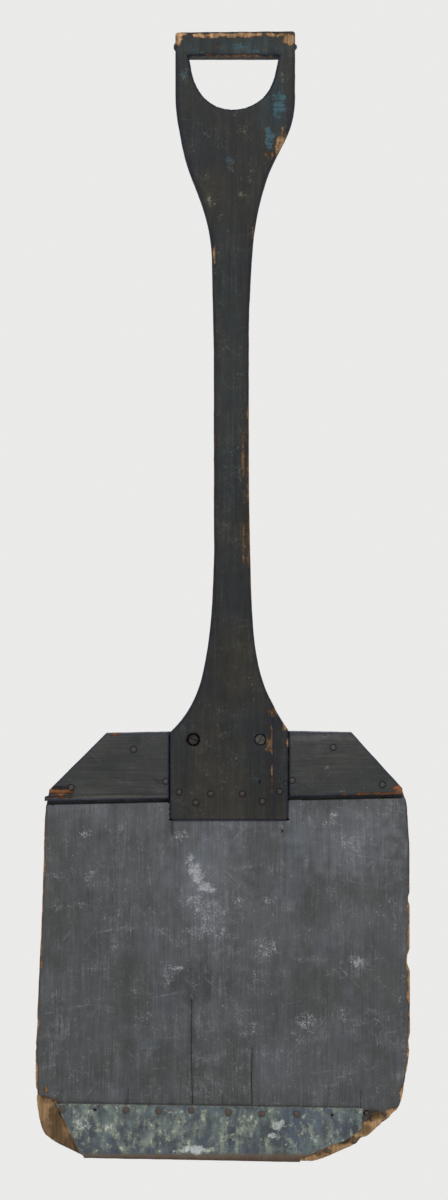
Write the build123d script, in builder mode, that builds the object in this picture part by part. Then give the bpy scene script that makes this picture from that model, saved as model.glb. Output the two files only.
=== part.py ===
from build123d import *
from math import cos, radians, tan
import os

os.makedirs("parts", exist_ok=True)

# A wooden grain shovel, all in millimetres. +Z runs up the handle and the painted working face
# looks along -Y. The pieces are drawn with x = 0 in the middle of the blade and z = 0 at the
# middle of the lip, which slopes a little down to the right.
# The finished pieces are then moved so that the origin is under the bar of the D grip, by which
# the shovel hangs.

# ---------------------------------------------------------------- driving dimensions
grip_top_left = 1129.4
grip_top_right = 1130.6
blade_left = -187.3
blade_right = 188.3

plank_thickness = 25.0          # the inch plank that the handle is sawn from
board_thickness = 22.0          # the seven-eighths board of the blade
foot_proud = plank_thickness - board_thickness
wing_thickness = 12.0           # the wings lie in a rebate of this depth, flush with the blade
tongue_thickness = board_thickness - wing_thickness

plank_front = -plank_thickness / 2
back = plank_thickness / 2
board_front = back - board_thickness
tongue_front = back - tongue_thickness

# handle, measured from the centre line of its shaft
shaft_x = 9.1
shaft_half = 17.8
shaft_bottom = 700.0
shaft_top = 800.0
shaft_arris = 6.0

# the D grip, its centre line stands a little to the right of the shaft's
grip_x = shaft_x + 3.95
grip_half = 60.15
grip_corner = 2.6
bar_underside = 1104.5
hand_radius = 42.0
hand_x = grip_x - 1.65
hand_centre_z = 1094.0
hand_top_half = 45.0            # the hole widens a little towards the bar
hand_low = cos(radians(45)) * hand_radius
hand_arris = 4.0

# the foot of the handle, let into the front of the blade
foot_left = -52.6
foot_right = 66.2
foot_bottom = 340.5
foot_shoulder_left = 428.0
foot_shoulder_right = 431.0
foot_corner = 4.0
foot_arris = 2.0
lap_top = 460.0
strip_joint_x = 50.1            # the glued joint of the narrow strip that widens the foot

# wings and blade
head_inner_left = 428.9        # upper edge of the wings, beside the foot and at the corners
head_outer_left = 427.6
head_inner_right = 429.6
head_outer_right = 428.4
head_corner_left = -116.6
head_corner_right = 129.9
wing_tip_left = -178.0
wing_split_left = -174.0        # the tip is split, and its lower part stands out further
wing_split_top = 370.6
wing_split_bottom = 365.5
wing_tip_right = 180.6
wing_tip_right_top = 372.6
wing_low_left = 359.8           # lower edge of the wings, which rises to the right
wing_low_right = 366.6
rebate_left = 355.4             # upper edge of the blade's face, just under the wings
rebate_right = 363.4
blade_shoulder_right = 183.4
wing_arris = 3.0
blade_arris = 2.5

# the lip of the blade, thinned from behind
sheet = 1.0
taper_top = 120.0
lip_thickness = 10.0
lip_left = -137.0
lip_right = 90.0
lip_slope = 1.1                 # degrees
lip_level_x = -22.0
strip_back_height = 14.0

# fasteners
screw_z = 421.5
screw_left_x = -28.8
screw_right_x = 38.0
screw_shank = 2.2
screw_head_left = 5.4
screw_head_right = 5.3
screw_head_height = 2.6
screw_slot = 1.3
screw_left_length = 14.0
screw_right_length = 16.0
left_bore_radius = 6.5          # the two counterbores are cut to different depths
left_bore_depth = 7.0
right_bore_radius = 5.7
right_bore_depth = 4.2
nail_shank = 1.3
wood_nail_head = 2.6
wood_nail_head_height = 0.8
set_depth = 0.9                 # the nails in wood are set just below the surface
set_radius = 3.3
nail_stop = 1.5                 # wood left between the point of a nail and the back

# rivet across the grip bar
rivet_z = 1116.0
rivet_radius = 2.5
rivet_head_radius = 3.2
rivet_head_height = 1.9
burr_radius = 3.8
burr_thickness = 0.9
rivet_end = 0.7                 # the shank is hammered over just beyond the burr
rivet_end_round = 0.5

# metal edge over the lip
strip_left = -167.5
strip_right = 141.3
strip_top_left = 57.9
strip_top_right = 53.3
strip_low_left = -145.0
edge_nail_head = 3.4
edge_nail_head_height = 1.6
edge_nail_length = 12.0
loose_nail_gap = 0.6            # the nail that the metal has torn away from

# oversize of cutting shapes, so that they clear the wood
over = 20.0


def keep(piece, name):
    """Moves a finished piece to hang from the origin, labels it and exports it."""
    hung = piece.part.moved(Location((-hand_x, 0, -bar_underside)))
    hung.label = name
    export_step(hung, f"parts/{name}.step")


# ---------------------------------------------------------------- fastener makers


def front_pin(x, z, seat_y):
    """A plane whose local x is radial and whose local y runs into the wood."""
    return Plane(origin=(x, seat_y, z), x_dir=(1, 0, 0), z_dir=(0, 0, 1))


def make_nail(name, x, z, seat_y, head_radius, head_height, shank_radius, length):
    """A round-headed nail that tapers to a point, driven along +Y."""
    with BuildPart() as nail:
        with BuildSketch(front_pin(x, z, seat_y)):
            with BuildLine():
                Line((0, -head_height), (0, length))
                Line((0, length), (shank_radius * 0.7, length - 2.5 * shank_radius))
                Line((shank_radius * 0.7, length - 2.5 * shank_radius), (shank_radius, 0))
                Line((shank_radius, 0), (head_radius, 0))
                Line((head_radius, 0), (head_radius, -0.3 * head_height))
                TangentArc((0, -head_height), (head_radius, -0.3 * head_height), tangent=(1, 0))
            make_face()
        revolve(axis=Axis((x, seat_y, z), (0, 1, 0)))
    keep(nail, name)
    return nail


def make_screw(name, x, z, seat_y, head_radius, head_height, slot_angle, length):
    """A slotted cheese-head screw, driven along +Y."""
    with BuildPart() as screw:
        with BuildSketch(front_pin(x, z, seat_y)):
            with BuildLine():
                Polyline(
                    (0, -head_height),
                    (0, length),
                    (screw_shank * 0.6, length - 4),
                    (screw_shank, 3),
                    (screw_shank, 0),
                    (head_radius, 0),
                    (head_radius, -0.7 * head_height),
                    (0.88 * head_radius, -head_height),
                    (0, -head_height),
                )
            make_face()
        revolve(axis=Axis((x, seat_y, z), (0, 1, 0)))
        slot_plane = Plane(origin=(x, seat_y - head_height, z), x_dir=(1, 0, 0), z_dir=(0, -1, 0))
        with BuildSketch(slot_plane):
            Rectangle(2.4 * head_radius, screw_slot, rotation=slot_angle)
        extrude(amount=-0.5 * head_height, mode=Mode.SUBTRACT)
    keep(screw, name)
    return screw


# ---------------------------------------------------------------- foot screws
left_screw = make_screw(
    "foot_screw_left",
    screw_left_x,
    screw_z,
    seat_y=plank_front + left_bore_depth,
    head_radius=screw_head_left,
    head_height=screw_head_height,
    slot_angle=-20,
    length=screw_left_length,
)
right_screw = make_screw(
    "foot_screw_right",
    screw_right_x,
    screw_z,
    seat_y=plank_front + right_bore_depth,
    head_radius=screw_head_right,
    head_height=screw_head_height,
    slot_angle=60,
    length=screw_right_length,
)
foot_screws = [left_screw, right_screw]

# ---------------------------------------------------------------- nails
foot_nail_places = {
    "foot_nail_1": (-43.2, 369.0),
    "foot_nail_2": (-26.5, 358.4),
    "foot_nail_3": (-11.5, 367.3),
    "foot_nail_4": (19.9, 367.3),
    "foot_nail_5": (40.0, 359.8),
}
strip_nail_places = {
    "side_strip_nail": (57.3, 369.6),
    "side_strip_brad": (63.0, 377.5),
}
left_wing_nail_places = {
    "left_wing_nail_tip": (-151.3, 373.4),
    "left_wing_nail_top": (-88.7, 411.5),
    "left_wing_nail_inner": (-56.6, 379.5),
}
right_wing_nail_places = {
    "right_wing_nail_inner": (70.0, 380.5),
    "right_wing_nail_top": (110.9, 413.6),
    "right_wing_nail_tip": (160.2, 376.3),
}
edge_nail_places = {
    "edge_nail_1": (-160.0, 52.3),
    "edge_nail_2": (-96.0, 51.0),
    "edge_nail_3": (-64.0, 50.2),
    "edge_nail_4": (-31.0, 51.0),
    "edge_nail_5": (6.0, 49.0),
    "edge_nail_6": (39.2, 47.3),
    "edge_nail_7": (74.8, 47.0),
}
lost_nail_places = [(-127.5, 51.4), (110.0, 46.2)]
loose_nail_place = (144.5, 48.0)  # left in the wood where the metal has torn away from it


def drive_into_wood(places, face_y):
    """Nails set just below a wooden face, all reaching nearly to the back of the board."""
    seat_y = face_y + set_depth
    nails = []
    for name, (x, z) in places.items():
        size = 0.5 if name.endswith("brad") else 1.0
        nails.append(
            make_nail(
                name,
                x,
                z,
                seat_y,
                head_radius=wood_nail_head * size,
                head_height=wood_nail_head_height,
                shank_radius=nail_shank * size,
                length=back - nail_stop - seat_y,
            )
        )
    return nails


foot_nails = drive_into_wood(foot_nail_places, plank_front)
strip_nails = drive_into_wood(strip_nail_places, plank_front)
left_wing_nails = drive_into_wood(left_wing_nail_places, board_front)
right_wing_nails = drive_into_wood(right_wing_nail_places, board_front)
edge_nails = []
for edge_name, (edge_x, edge_z) in edge_nail_places.items():
    edge_nails.append(
        make_nail(
            edge_name,
            edge_x,
            edge_z,
            board_front - sheet,
            head_radius=edge_nail_head,
            head_height=edge_nail_head_height,
            shank_radius=nail_shank,
            length=edge_nail_length,
        )
    )
edge_nails.append(
    make_nail(
        "edge_nail_8",
        *loose_nail_place,
        board_front + loose_nail_gap,
        head_radius=1.9,
        head_height=wood_nail_head_height,
        shank_radius=nail_shank,
        length=edge_nail_length - 1,
    )
)

# ---------------------------------------------------------------- outline of the handle
grip_left = grip_x - grip_half
grip_right = grip_x + grip_half
grip_spring = 1064.0            # where the sides of the grip turn straight

with BuildSketch() as handle_outline:
    with BuildLine():
        Line((foot_left, foot_bottom), (foot_left, foot_shoulder_left))
        Spline(
            (foot_left, foot_shoulder_left),
            (shaft_x - 44.4, 449),
            (shaft_x - 32.9, 473),
            (shaft_x - 25.4, 505),
            (shaft_x - 20.3, 546),
            (shaft_x - 17.5, 611),
            (shaft_x - shaft_half, shaft_bottom),
            tangents=[(1, 1), (0, 1)],
        )
        Line((shaft_x - shaft_half, shaft_bottom), (shaft_x - shaft_half, shaft_top))
        Spline(
            (shaft_x - shaft_half, shaft_top),
            (shaft_x - 19.4, 880),
            (shaft_x - 21.2, 921),
            (shaft_x - 31.0, 961),
            (shaft_x - 45.8, 1001),
            (shaft_x - 52.4, 1031),
            (grip_left, grip_spring),
            tangents=[(0, 1), (0, 1)],
        )
        Line((grip_left, grip_spring), (grip_left, grip_top_left))
        Line((grip_left, grip_top_left), (grip_right, grip_top_right))
        Line((grip_right, grip_top_right), (grip_right, grip_spring))
        Spline(
            (grip_right, grip_spring),
            (shaft_x + 58.0, 1031),
            (shaft_x + 43.2, 1001),
            (shaft_x + 29.4, 961),
            (shaft_x + 22.5, 921),
            (shaft_x + 18.8, 862),
            (shaft_x + shaft_half, shaft_top),
            tangents=[(0, -1), (0, -1)],
        )
        Line((shaft_x + shaft_half, shaft_top), (shaft_x + shaft_half, shaft_bottom))
        Spline(
            (shaft_x + shaft_half, shaft_bottom),
            (shaft_x + 19.0, 611),
            (shaft_x + 21.2, 546),
            (shaft_x + 25.5, 505),
            (shaft_x + 34.1, 473),
            (shaft_x + 45.8, 449),
            (foot_right, foot_shoulder_right),
            tangents=[(0, -1), (1, -1.3)],
        )
        Line((foot_right, foot_shoulder_right), (foot_right, foot_bottom))
        Line((foot_right, foot_bottom), (foot_left, foot_bottom))
    make_face()
    top_corners = handle_outline.vertices().filter_by(lambda corner: corner.Y > bar_underside)
    fillet(top_corners, radius=grip_corner)
    fillet(handle_outline.vertices().group_by(Axis.Y)[0], radius=foot_corner)



def around_hand_hole(edge):
    """Whether an edge of the plank's faces belongs to the hand hole."""
    middle = edge.center()
    in_height = bar_underside + 1 > middle.Z > hand_centre_z - hand_radius - 1
    return in_height and abs(middle.X - hand_x) < hand_top_half + 1


# ---------------------------------------------------------------- plank, before it is jointed
with BuildPart() as plank:
    with BuildSketch(Plane.XZ.offset(-back)):
        add(handle_outline.sketch)
        with BuildLine():
            Line((hand_x - hand_top_half, bar_underside), (hand_x + hand_top_half, bar_underside))
            Spline(
                (hand_x + hand_top_half, bar_underside),
                (hand_x + hand_radius, hand_centre_z - 4),
                (hand_x + hand_low, hand_centre_z - hand_low),
                (hand_x, hand_centre_z - hand_radius),
                (hand_x - hand_low, hand_centre_z - hand_low),
                (hand_x - hand_radius, hand_centre_z - 4),
                (hand_x - hand_top_half, bar_underside),
                tangents=[(-0.3, -1), (-0.3, 1)],
            )
        make_face(mode=Mode.SUBTRACT)
    extrude(amount=plank_thickness)
    face_edges = plank.edges().filter_by(Plane.XZ)
    foot_edges = face_edges.filter_by(lambda edge: edge.center().Z < foot_shoulder_left)
    fillet(face_edges - face_edges.filter_by(around_hand_hole) - foot_edges, radius=shaft_arris)
    fillet(plank.edges().filter_by(Plane.XZ).filter_by(around_hand_hole), radius=hand_arris)
    # the back of the foot is sawn away, to lap over the tongue of the blade board
    with BuildSketch(Plane.XZ.offset(-back)):
        with Locations(((foot_left + foot_right) / 2, (foot_bottom + lap_top) / 2)):
            Rectangle(foot_right - foot_left + over, lap_top - foot_bottom)
    extrude(amount=tongue_thickness, mode=Mode.SUBTRACT)
    foot_edges = (
        plank.edges()
        .filter_by(Plane.XZ)
        .filter_by(lambda edge: edge.center().Z < foot_shoulder_left)
        .group_by(Axis.Y)[0]
    )
    fillet(foot_edges, radius=foot_arris)

# ---------------------------------------------------------------- blade board


def lip_height(x):
    """Height of the wooden lip, which slopes down to the right."""
    return sheet / cos(radians(lip_slope)) - (x - lip_level_x) * tan(radians(lip_slope))


with BuildSketch() as blade_outline:
    with BuildLine():
        Spline(
            (wing_tip_left + 1.2, rebate_left),
            (-179.2, 300),
            (-181.5, 235),
            (-185.2, 155),
            (blade_left, 98),
            (-185.8, 58),
            (-177.2, 25.5),
            tangents=[(-0.1, -1), (1, -1.2)],
        )
        Line((-177.2, 25.5), (-167.0, 18))
        Line((-167.0, 18), (lip_left, lip_height(lip_left)))
        Line((lip_left, lip_height(lip_left)), (lip_right, lip_height(lip_right)))
        Spline(
            (lip_right, lip_height(lip_right)),
            (115.5, 8),
            (141.0, 21),
            (160.5, 37.5),
            (175.2, 51),
            (183.0, 80),
            (blade_right, 128),
            tangents=[(1, 0.2), (0, 1)],
        )
        Line((blade_right, 128), (blade_right - 0.6, 310))
        Spline(
            (blade_right - 0.6, 310),
            (186.2, 340),
            (blade_shoulder_right, rebate_right),
            tangents=[(0, 1), (-0.4, 1)],
        )
        Line((blade_shoulder_right, rebate_right), (wing_tip_right, wing_tip_right_top))
        Line((wing_tip_right, wing_tip_right_top), (head_corner_right, head_outer_right))
        Line((head_corner_right, head_outer_right), (foot_right, head_inner_right))
        Line((foot_right, head_inner_right), (foot_left, head_inner_left))
        Line((foot_left, head_inner_left), (head_corner_left, head_outer_left))
        Line((head_corner_left, head_outer_left), (wing_split_left, wing_split_top))
        Line((wing_split_left, wing_split_top), (wing_tip_left + 1.2, rebate_left))
    make_face()

# the tongue of the board stands above it, behind the flare of the handle
with BuildSketch() as lap_outline:
    add(handle_outline.sketch)
    with Locations(((foot_left + foot_right) / 2, (foot_bottom + lap_top) / 2)):
        Rectangle(foot_right - foot_left + over, lap_top - foot_bottom, mode=Mode.INTERSECT)

with BuildSketch(Plane.YZ) as blade_section:
    with BuildLine():
        Polyline(
            (board_front, lap_top + 1),
            (board_front, sheet),
            (board_front + lip_thickness, sheet),
            (back, taper_top),
            (back, lap_top + 1),
            close=True,
        )
    make_face()
    lip_corners = blade_section.vertices().group_by(Axis.Y)[0]
    fillet(lip_corners.sort_by(Axis.X)[0], radius=blade_arris)

slope_axis = Axis((lip_level_x, 0, 0), (0, 1, 0))
with BuildPart() as lip_wedge:
    with BuildSketch(Plane.YZ.offset(lip_level_x)):
        with BuildLine():
            Polyline(
                (board_front + lip_thickness, sheet - over),
                (board_front + lip_thickness, sheet),
                (back, taper_top),
                (back + over, taper_top),
                (back + over, sheet - over),
                close=True,
            )
        make_face()
    extrude(amount=blade_right + 2 * over, both=True)

with BuildPart() as blade_board:
    with BuildSketch(Plane.XZ.offset(-back)):
        add(blade_outline.sketch)
        add(lap_outline.sketch)
    extrude(amount=board_thickness)
    outline_edges = blade_board.edges().filter_by(Plane.XZ)
    fillet(
        outline_edges.filter_by(lambda edge: edge.center().Z < rebate_left - 10),
        radius=blade_arris,
    )
    # the lip is thinned from behind
    add(lip_wedge.part.rotate(slope_axis, lip_slope), mode=Mode.SUBTRACT)
    # rebate for the wings and pocket for the foot
    with BuildSketch(Plane.XZ.offset(-tongue_front)):
        with BuildLine():
            Polyline(
                (wing_tip_left - over, rebate_left),
                (wing_tip_right + over, rebate_right),
                (wing_tip_right + over, lap_top + over),
                (wing_tip_left - over, lap_top + over),
                close=True,
            )
        make_face()
        with Locations(((foot_left + foot_right) / 2, foot_bottom)):
            Rectangle(
                foot_right - foot_left,
                rebate_right - foot_bottom + over,
                align=(Align.CENTER, Align.MIN),
            )
    extrude(amount=wing_thickness, mode=Mode.SUBTRACT)
    for nail in foot_nails + strip_nails + left_wing_nails + right_wing_nails + edge_nails:
        add(nail.part, mode=Mode.SUBTRACT)
    for screw in foot_screws:
        add(screw.part, mode=Mode.SUBTRACT)
    # two nails of the metal edge have fallen out and left their holes
    with Locations(*[front_pin(x, z, board_front) for x, z in lost_nail_places]):
        Cylinder(nail_shank, edge_nail_length, rotation=(90, 0, 0), mode=Mode.SUBTRACT)
keep(blade_board, "blade_board")

# ---------------------------------------------------------------- wings of the blade


def wing_low_edge(x):
    """Height of the lower edge of the wings, which rises from left to right."""
    run = (x - wing_tip_left) / (wing_tip_right - wing_tip_left)
    return wing_low_left + run * (wing_low_right - wing_low_left)


def outer_face_edges(wing):
    """The long front edges along the top and the slope, rounded by handling."""
    front = wing.edges().filter_by(Plane.XZ).group_by(Axis.Y)[0]
    return front.filter_by(lambda edge: edge.center().Z > 390 and edge.length > 40)


with BuildPart() as left_wing:
    with BuildSketch(Plane.XZ.offset(-tongue_front)):
        with BuildLine():
            Polyline(
                (wing_tip_left, wing_low_left),
                (foot_left, wing_low_edge(foot_left)),
                (foot_left, head_inner_left),
                (head_corner_left, head_outer_left),
                (wing_split_left, wing_split_top),
                (wing_split_left + 1.0, wing_split_bottom),
                (wing_tip_left, wing_split_bottom - 1.5),
                close=True,
            )
        make_face()
    extrude(amount=wing_thickness)
    fillet(outer_face_edges(left_wing), radius=wing_arris)
    for nail, (x, z) in zip(left_wing_nails, left_wing_nail_places.values()):
        add(nail.part, mode=Mode.SUBTRACT)
        with Locations(front_pin(x, z, board_front)):
            Cylinder(set_radius, 2 * set_depth, rotation=(90, 0, 0), mode=Mode.SUBTRACT)
keep(left_wing, "left_wing")

with BuildPart() as right_wing:
    with BuildSketch(Plane.XZ.offset(-tongue_front)):
        with BuildLine():
            Polyline(
                (wing_tip_right, wing_low_right),
                (wing_tip_right, wing_tip_right_top),
                (head_corner_right, head_outer_right),
                (foot_right, head_inner_right),
                (foot_right, wing_low_edge(foot_right)),
                close=True,
            )
        make_face()
    extrude(amount=wing_thickness)
    fillet(outer_face_edges(right_wing), radius=wing_arris)
    for nail, (x, z) in zip(right_wing_nails, right_wing_nail_places.values()):
        add(nail.part, mode=Mode.SUBTRACT)
        with Locations(front_pin(x, z, board_front)):
            Cylinder(set_radius, 2 * set_depth, rotation=(90, 0, 0), mode=Mode.SUBTRACT)
keep(right_wing, "right_wing")

# ---------------------------------------------------------------- handle and its side strip
# the block of the plank that lies to the right of the glued joint
with BuildPart() as strip_block:
    with Locations((strip_joint_x, -over, foot_bottom - over)):
        Box(
            foot_right - strip_joint_x + over,
            2 * over,
            lap_top - foot_bottom + 1.25 * over,
            align=Align.MIN,
        )

with BuildPart() as handle:
    add(plank.part)
    add(strip_block.part, mode=Mode.SUBTRACT)
    for nail, (x, z) in zip(foot_nails, foot_nail_places.values()):
        add(nail.part, mode=Mode.SUBTRACT)
        with Locations(front_pin(x, z, plank_front)):
            Cylinder(set_radius, 2 * set_depth, rotation=(90, 0, 0), mode=Mode.SUBTRACT)
    for screw in foot_screws:
        add(screw.part, mode=Mode.SUBTRACT)
    with Locations(front_pin(screw_left_x, screw_z, plank_front)):
        Cylinder(left_bore_radius, 2 * left_bore_depth, rotation=(90, 0, 0), mode=Mode.SUBTRACT)
    with Locations(front_pin(screw_right_x, screw_z, plank_front)):
        Cylinder(right_bore_radius, 2 * right_bore_depth, rotation=(90, 0, 0), mode=Mode.SUBTRACT)
    with Locations(Plane(origin=(grip_x, 0, rivet_z), z_dir=(1, 0, 0))):
        Cylinder(rivet_radius, 4 * grip_half, mode=Mode.SUBTRACT)
keep(handle, "handle")

with BuildPart() as foot_side_strip:
    add(plank.part)
    add(strip_block.part, mode=Mode.INTERSECT)
    for nail, (x, z) in zip(strip_nails, strip_nail_places.values()):
        add(nail.part, mode=Mode.SUBTRACT)
        with Locations(front_pin(x, z, plank_front)):
            Cylinder(set_radius, 2 * set_depth, rotation=(90, 0, 0), mode=Mode.SUBTRACT)
keep(foot_side_strip, "foot_side_strip")

# ---------------------------------------------------------------- rivet through the grip bar
with BuildPart() as grip_rivet:
    with BuildSketch(Plane.XZ):
        with BuildLine():
            Polyline(
                (grip_left - burr_thickness - rivet_end, rivet_z),
                (grip_left - burr_thickness - rivet_end, rivet_z + rivet_radius - rivet_end_round),
                (grip_left - burr_thickness, rivet_z + rivet_radius),
                (grip_right, rivet_z + rivet_radius),
                (grip_right, rivet_z + rivet_head_radius),
            )
            TangentArc(
                (grip_right + rivet_head_height, rivet_z),
                (grip_right, rivet_z + rivet_head_radius),
                tangent=(0, 1),
            )
            Line(
                (grip_right + rivet_head_height, rivet_z),
                (grip_left - burr_thickness - rivet_end, rivet_z),
            )
        make_face()
    revolve(axis=Axis((0, 0, rivet_z), (1, 0, 0)))
keep(grip_rivet, "grip_rivet")

with BuildPart() as rivet_burr:
    with BuildSketch(Plane(origin=(grip_left, 0, rivet_z), z_dir=(-1, 0, 0))):
        Circle(burr_radius)
        Circle(rivet_radius, mode=Mode.SUBTRACT)
    extrude(amount=burr_thickness)
keep(rivet_burr, "rivet_burr")

# ---------------------------------------------------------------- metal edge
with BuildSketch(Plane.YZ) as sheet_section:
    add(blade_section.sketch_local)
    offset(amount=sheet, kind=Kind.ARC)
    add(blade_section.sketch_local, mode=Mode.SUBTRACT)
    with BuildLine():
        Polyline(
            (board_front - 5, -5),
            (back + 5, -5),
            (back + 5, strip_back_height),
            (board_front + 5, strip_back_height),
            (board_front + 5, strip_top_left),
            (board_front - 5, strip_top_left),
            close=True,
        )
    make_face(mode=Mode.INTERSECT)

with BuildPart() as sheet_bar:
    extrude(sheet_section.sketch, amount=blade_right + over, both=True)

with BuildPart() as metal_edge:
    with BuildSketch(Plane.XZ.offset(-back)):
        with BuildLine():
            Polyline(
                (strip_left, strip_top_left),
                (strip_low_left, 10),
                (lip_left, -over),
                (78.0, -over),
                (78.0, 5),
                (108.0, 17.5),
                (126.0, 25),
                (strip_right - 1, 35),
                (strip_right, strip_top_right),
                close=True,
            )
        make_face()
    extrude(amount=plank_thickness)
    add(sheet_bar.part.rotate(slope_axis, lip_slope), mode=Mode.INTERSECT)
    for nail in edge_nails:
        add(nail.part, mode=Mode.SUBTRACT)
    with Locations(*[front_pin(x, z, board_front) for x, z in lost_nail_places]):
        Cylinder(nail_shank, edge_nail_length, rotation=(90, 0, 0), mode=Mode.SUBTRACT)
keep(metal_edge, "metal_edge")
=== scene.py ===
import math

import bmesh
import bpy
import numpy as np
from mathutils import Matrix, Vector, geometry, noise
from mathutils.bvhtree import BVHTree
from mathutils.kdtree import KDTree


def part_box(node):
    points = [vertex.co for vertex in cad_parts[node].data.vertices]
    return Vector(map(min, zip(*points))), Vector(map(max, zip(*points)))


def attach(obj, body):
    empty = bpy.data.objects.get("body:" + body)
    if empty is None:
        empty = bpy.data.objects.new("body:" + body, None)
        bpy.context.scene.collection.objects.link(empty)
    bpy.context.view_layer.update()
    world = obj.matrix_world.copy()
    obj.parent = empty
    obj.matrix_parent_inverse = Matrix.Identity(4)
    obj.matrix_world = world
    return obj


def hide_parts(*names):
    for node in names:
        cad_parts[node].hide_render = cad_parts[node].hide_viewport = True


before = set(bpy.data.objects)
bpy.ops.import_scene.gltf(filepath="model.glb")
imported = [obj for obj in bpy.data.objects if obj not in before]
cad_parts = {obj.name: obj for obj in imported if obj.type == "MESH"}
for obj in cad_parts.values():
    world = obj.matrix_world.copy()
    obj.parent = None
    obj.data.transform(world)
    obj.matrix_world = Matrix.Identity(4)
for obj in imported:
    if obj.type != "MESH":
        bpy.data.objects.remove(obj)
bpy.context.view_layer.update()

# Places on the shovel are given in millimetres, x from the middle of the blade and z up from the
# lip, and turned into the row frame here. The row's origin is under the bar of the grip, where the
# hand hole's middle stands a little to the right of the blade's.
MM = 0.001
MIDDLE_X = -11.4 * MM
LIP_Z = -1104.5 * MM
FOOT_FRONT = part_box("handle")[0].y
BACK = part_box("handle")[1].y
BOARD_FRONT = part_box("blade_board")[0].y
TONGUE_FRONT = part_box("left_wing")[1].y
SMALLEST_OUTLINE = 400.0        # in square millimetres: nail holes are smaller


def row_x(x):
    return MIDDLE_X + x * MM


def row_z(z):
    return LIP_Z + z * MM


def drawn(point):
    """A row point's x and z in millimetres, from the middle of the blade and the lip."""
    return (point[0] - MIDDLE_X) / MM, (point[2] - LIP_Z) / MM


def smooth(low, high, value):
    t = np.clip((value - low) / (high - low), 0, 1)
    return t * t * (3 - 2 * t)


def grain(x, z, size_x, size_z, seed):
    """Smooth noise of about -1 to 1, drawn out to different sizes along x and z."""
    return noise.noise(Vector((x / size_x + seed * 7.31, z / size_z - seed * 3.77, seed)))


def grain_many(xs, zs, size_x, size_z, seed):
    return np.array([grain(x, z, size_x, size_z, seed) for x, z in zip(xs, zs)])


# ------------------------------------------------------------------ outlines from the frame


def section_loops(node, y):
    """Closed outlines, in millimetres, of a CAD node where a plane at depth y cuts it."""
    bm = bmesh.new()
    bm.from_mesh(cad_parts[node].data)
    bmesh.ops.remove_doubles(bm, verts=bm.verts[:], dist=1e-6)
    parts = bm.verts[:] + bm.edges[:] + bm.faces[:]
    bmesh.ops.bisect_plane(
        bm, geom=parts, plane_co=(0, y, 0), plane_no=(0, 1, 0), clear_inner=True, clear_outer=True
    )
    # the cut leaves a loose end on the side strip, where a walk round the outline would stop short
    while loose := [v for v in bm.verts if len(v.link_edges) < 2]:
        bmesh.ops.delete(bm, geom=loose, context="VERTS")
    loops = []
    unused = dict.fromkeys(bm.edges)
    while unused:
        edge, _ = unused.popitem()
        chain = [edge.verts[0], edge.verts[1]]
        while True:
            following = [e for e in chain[-1].link_edges if e in unused]
            if not following:
                break
            del unused[following[0]]
            chain.append(following[0].other_vert(chain[-1]))
        loop = np.array([drawn(v.co) for v in chain[:-1]])
        if abs(area(loop)) > SMALLEST_OUTLINE:
            loops.append(loop if area(loop) > 0 else loop[::-1])
    bm.free()
    loops.sort(key=lambda loop: -area(loop))
    return [loops[0]] + [hole[::-1] for hole in loops[1:]]


def joined(lower, upper, height):
    """One outline that follows the first below a height and the second above it."""
    out = []
    for loop, kept in ((lower, lower[:, 1] < height), (upper, upper[:, 1] >= height)):
        starts = np.flatnonzero(kept & ~np.roll(kept, 1))
        loop, kept = np.roll(loop, -starts[0], axis=0), np.roll(kept, -starts[0])
        out.append(loop[kept])
    return np.vstack(out)


def area(loop):
    x, z = loop[:, 0], loop[:, 1]
    return 0.5 * float(np.sum(x * np.roll(z, -1) - np.roll(x, -1) * z))


def resample(loop, step):
    """The same outline with points about a step apart, and its sharp corners kept."""
    ahead = np.roll(loop, -1, axis=0) - loop
    length = np.linalg.norm(ahead, axis=1)
    loop, ahead, length = loop[length > 1e-4], ahead[length > 1e-4], length[length > 1e-4]
    way = ahead / length[:, None]
    turn = np.sum(way * np.roll(way, 1, axis=0), axis=1)
    corners = np.flatnonzero(turn < math.cos(math.radians(24)))
    if len(corners) == 0:
        corners = np.array([0])
    loop = np.roll(loop, -corners[0], axis=0)
    corners = list(corners - corners[0]) + [len(loop)]
    closed = np.vstack([loop, loop[:1]])
    out = []
    for first, last in zip(corners[:-1], corners[1:]):
        run = closed[first:last + 1]
        along = np.concatenate([[0], np.cumsum(np.linalg.norm(np.diff(run, axis=0), axis=1))])
        count = max(1, round(along[-1] / step))
        at = np.linspace(0, along[-1], count + 1)[:-1]
        out.append(np.stack([np.interp(at, along, run[:, 0]), np.interp(at, along, run[:, 1])], 1))
    return np.vstack(out)


def inward(loop):
    """Unit normals of an outline that point into the wood."""
    way = np.roll(loop, -1, axis=0) - np.roll(loop, 1, axis=0)
    way /= np.linalg.norm(way, axis=1)[:, None]
    return np.stack([-way[:, 1], way[:, 0]], 1)


def tree_of(points):
    tree = KDTree(len(points))
    for i, (x, z) in enumerate(points):
        tree.insert((x, z, 0), i)
    tree.balance()
    return tree


def inside(points, loops):
    """Which points lie inside the outlines, by counting crossings."""
    found = np.zeros(len(points), bool)
    for loop in loops:
        a, b = loop, np.roll(loop, -1, axis=0)
        for (x0, z0), (x1, z1) in zip(a, b):
            if z0 == z1:
                continue
            spans = (points[:, 1] > min(z0, z1)) & (points[:, 1] <= max(z0, z1))
            at = x0 + (points[:, 1] - z0) * (x1 - x0) / (z1 - z0)
            found ^= spans & (points[:, 0] < at)
    return found


def distance_to_line(points, line):
    """Distance of each point from a drawn line of straight runs."""
    best = np.full(len(points), 1e9)
    for a, b in zip(line[:-1], line[1:]):
        a, b = np.array(a, float), np.array(b, float)
        run = b - a
        t = np.clip(((points - a) @ run) / (run @ run), 0, 1)
        best = np.minimum(best, np.linalg.norm(points - (a + t[:, None] * run), axis=1))
    return best


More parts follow.
